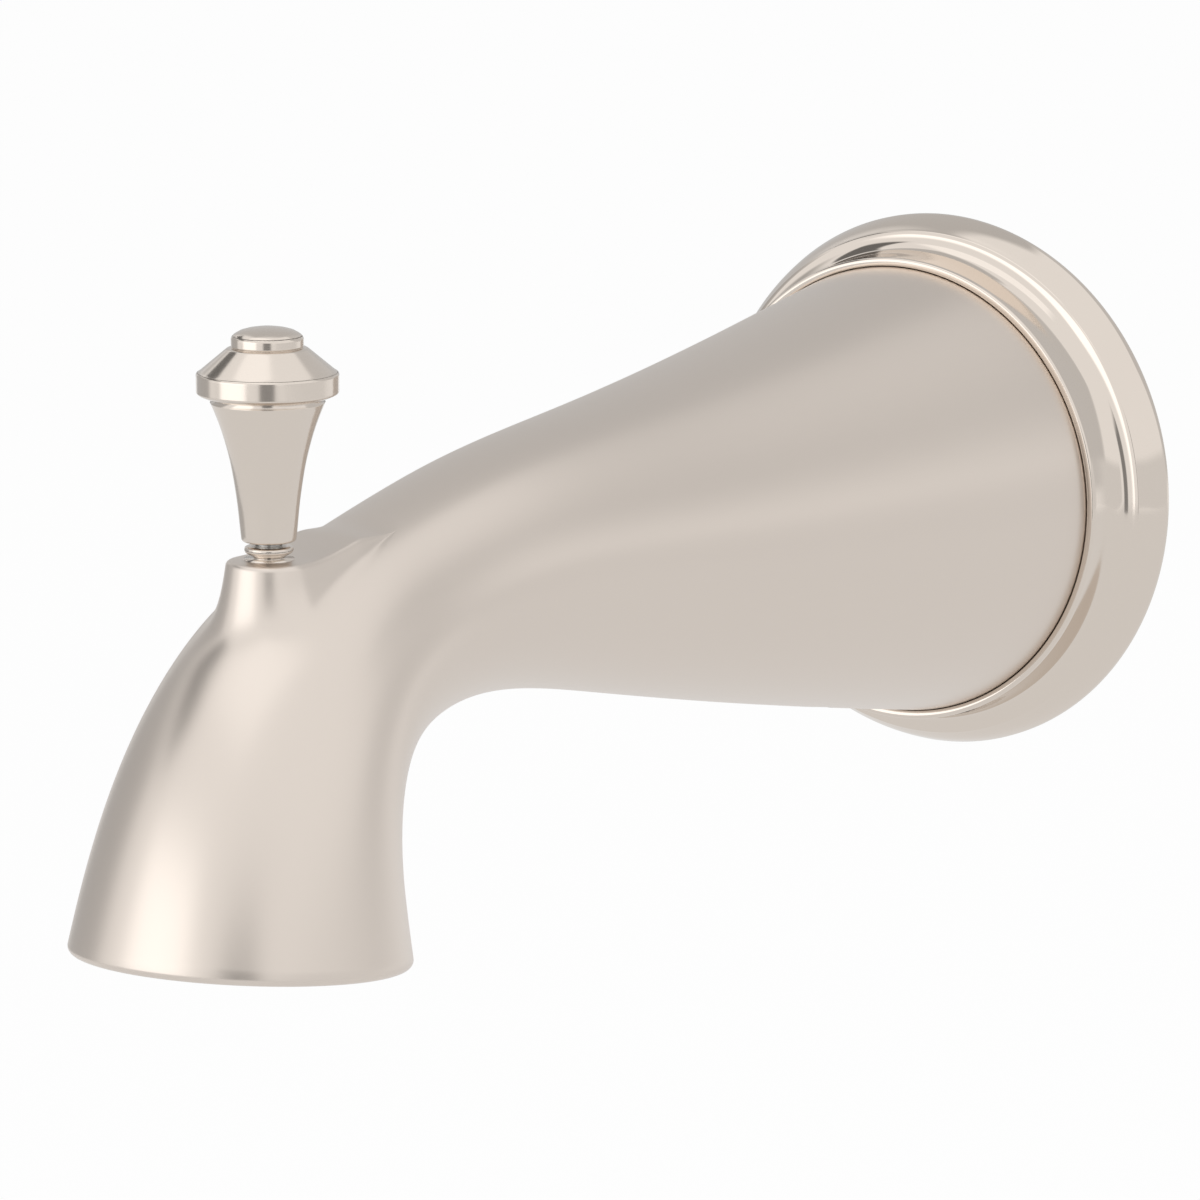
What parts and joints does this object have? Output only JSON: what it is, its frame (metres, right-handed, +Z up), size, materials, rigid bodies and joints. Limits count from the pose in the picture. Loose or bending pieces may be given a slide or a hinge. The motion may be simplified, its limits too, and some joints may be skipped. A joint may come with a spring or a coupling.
{
  "type": "diverter bath spout",
  "caption": "Wall-mounted bath spout with a tapering body, down-turned flared nose, wall flange and a pull-up knob that lifts an inner gate to divert water.",
  "frame": {"origin": "centre of the inlet hub's mouth, on the wall plane at the centre of the flange's back", "axes": "+Z up, +Y into the wall, so the spout reaches out along -Y; +X to the right seen from the front"},
  "size_m": [0.073, 0.1757, 0.0787],
  "materials": {
    "polished_nickel": "polished nickel plate on cast brass, warm grey, soft mirror gloss",
    "brass": "bare turned brass, fine lathe marks",
    "steel": "bright stainless steel",
    "black_rubber": "matte black nitrile rubber",
    "foam": "dark closed-cell foam",
    "acetal": "off-white moulded acetal"
  },
  "bodies": {
    "spout": {"spout_body": "polished_nickel", "wall_flange": "polished_nickel", "flange_gasket": "foam", "flange_o_ring": "black_rubber", "inlet_hub": "brass", "inlet_o_ring_rear": "black_rubber", "inlet_o_ring_front": "black_rubber", "hub_washer": "steel", "hub_snap_ring": "steel", "set_screw": "steel", "waterway_tube": "brass", "tube_o_ring_rear": "black_rubber", "tube_o_ring_front": "black_rubber", "valve_seat": "brass", "stem_bushing": "polished_nickel", "stem_o_ring": "black_rubber"},
    "lift": {"diverter_knob": "polished_nickel", "lift_rod": "steel", "diverter_gate": "acetal", "gate_seal": "black_rubber", "gate_nut": "brass"}
  },
  "joints": [
    {"name": "knob_lift", "type": "slide", "parent": "spout", "child": "lift", "axis": [0, 0, 1], "range_m": [0, 0.011]}
  ]
}
